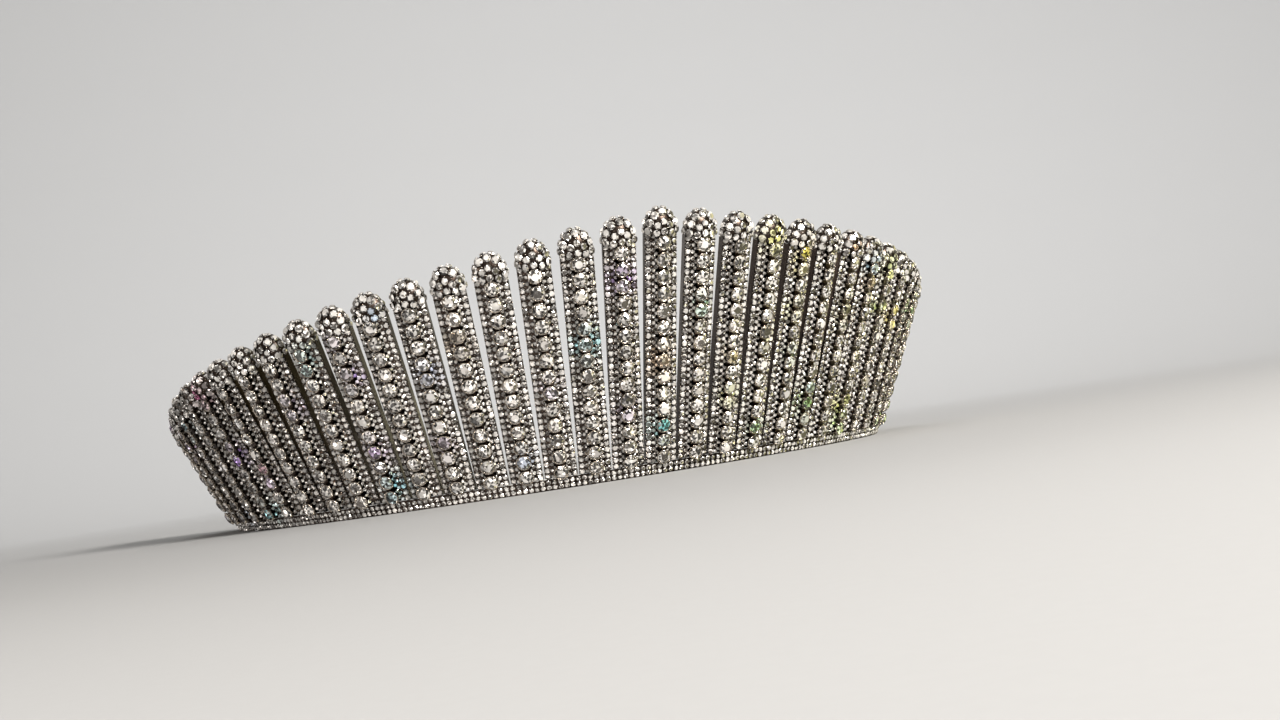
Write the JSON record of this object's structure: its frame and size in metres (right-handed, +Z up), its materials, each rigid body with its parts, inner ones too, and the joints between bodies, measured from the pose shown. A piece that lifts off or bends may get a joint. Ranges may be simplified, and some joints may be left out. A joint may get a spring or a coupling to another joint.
{
  "type": "fringe diadem",
  "caption": "Open fringe diadem: upright round-topped paved bars, tallest at the centre front, flaring from a slim paved base band.",
  "frame": {"origin": "on the plane that the band rests on, under the middle of the whole piece", "axes": "+Z up, -Y to the front, X from side to side"},
  "size_m": [0.1908, 0.1276, 0.0536],
  "materials": {
    "bar_metal": "polished white metal, darker and warmer in its recesses",
    "band_metal": "polished white metal",
    "loop_metal": "satin white metal",
    "cut_stone": "clear faceted stones with small flashes of colour"
  },
  "bodies": {
    "root": {"bar_centre": "bar_metal", "bar_left_01": "bar_metal", "bar_left_02": "bar_metal", "bar_left_03": "bar_metal", "bar_left_04": "bar_metal", "bar_left_05": "bar_metal", "bar_left_06": "bar_metal", "bar_left_07": "bar_metal", "bar_left_08": "bar_metal", "bar_left_09": "bar_metal", "bar_left_10": "bar_metal", "bar_left_11": "bar_metal", "bar_left_12": "bar_metal", "bar_left_13": "bar_metal", "bar_left_14": "bar_metal", "bar_left_15": "bar_metal", "bar_left_16": "bar_metal", "bar_left_17": "bar_metal", "bar_left_18": "bar_metal", "bar_left_19": "bar_metal", "bar_left_20": "bar_metal", "bar_right_01": "bar_metal", "bar_right_02": "bar_metal", "bar_right_03": "bar_metal", "bar_right_04": "bar_metal", "bar_right_05": "bar_metal", "bar_right_06": "bar_metal", "bar_right_07": "bar_metal", "bar_right_08": "bar_metal", "bar_right_09": "bar_metal", "bar_right_10": "bar_metal", "bar_right_11": "bar_metal", "bar_right_12": "bar_metal", "bar_right_13": "bar_metal", "bar_right_14": "bar_metal", "bar_right_15": "bar_metal", "bar_right_16": "bar_metal", "bar_right_17": "bar_metal", "bar_right_18": "bar_metal", "bar_right_19": "bar_metal", "bar_right_20": "bar_metal", "base_band": "band_metal", "end_loop_left": "loop_metal", "end_loop_right": "loop_metal"}
  },
  "joints": []
}
